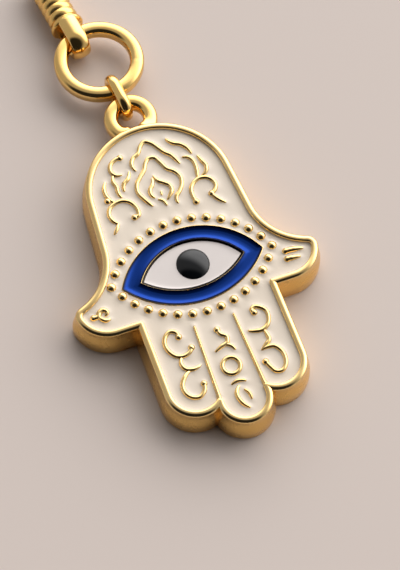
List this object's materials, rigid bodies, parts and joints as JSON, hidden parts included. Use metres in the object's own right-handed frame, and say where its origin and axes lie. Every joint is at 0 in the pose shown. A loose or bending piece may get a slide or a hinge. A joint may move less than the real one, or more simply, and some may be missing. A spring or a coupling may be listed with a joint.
{
  "type": "hamsa hand ornament",
  "caption": "Hand-shaped enamelled ornament with an eye on its palm, hung by a short link from a round ring that is hooked to a ribbed cord end.",
  "frame": {"origin": "on the flat back of the hand, under the middle of the line between the eye's corners", "axes": "+X across the thumbs, +Y from the fingertips to the bail, +Z out of the enamelled face"},
  "size_m": [0.036, 0.0781, 0.0051],
  "materials": {
    "gold_plate": "polished",
    "ivory_enamel": "gloss",
    "blue_enamel": "gloss",
    "white_enamel": "gloss",
    "black_glass": "gloss"
  },
  "bodies": {
    "hand": {"hand_tray": "gold_plate", "bail_loop": "gold_plate", "bead_border": "gold_plate", "eye_outer_bezel": "gold_plate", "eye_inner_bezel": "gold_plate", "finger_ridge_left": "gold_plate", "finger_ridge_right": "gold_plate", "palm_flame": "gold_plate", "palm_scrolls_left": "gold_plate", "palm_scrolls_right": "gold_plate", "finger_scrolls_left": "gold_plate", "finger_scrolls_middle": "gold_plate", "finger_scrolls_right": "gold_plate", "thumb_curl_left": "gold_plate", "thumb_curls_right": "gold_plate", "ivory_enamel": "ivory_enamel", "blue_enamel": "blue_enamel", "white_enamel": "white_enamel", "pupil_dome": "black_glass"},
    "link": {"chain_link": "gold_plate"},
    "ring": {"hanging_ring": "gold_plate"},
    "cap": {"end_cap_eye": "gold_plate", "end_cap_barrel": "gold_plate"}
  },
  "joints": [
    {"name": "link_swing", "type": "hinge", "parent": "hand", "child": "link", "pos_m": [-0.00029, 0.02858, 0.0026], "axis": [0.9945, 0.1045, 0], "range_deg": [-80, 80]},
    {"name": "ring_swing", "type": "hinge", "parent": "link", "child": "ring", "pos_m": [-0.00054, 0.03097, 0.0026], "axis": [0.9945, 0.1045, 0], "range_deg": [-60, 60]},
    {"name": "cap_swing", "type": "hinge", "parent": "ring", "child": "cap", "pos_m": [-0.00327, 0.0415, 0.0026], "axis": [0.9205, 0.3907, 0], "range_deg": [-50, 50]}
  ]
}
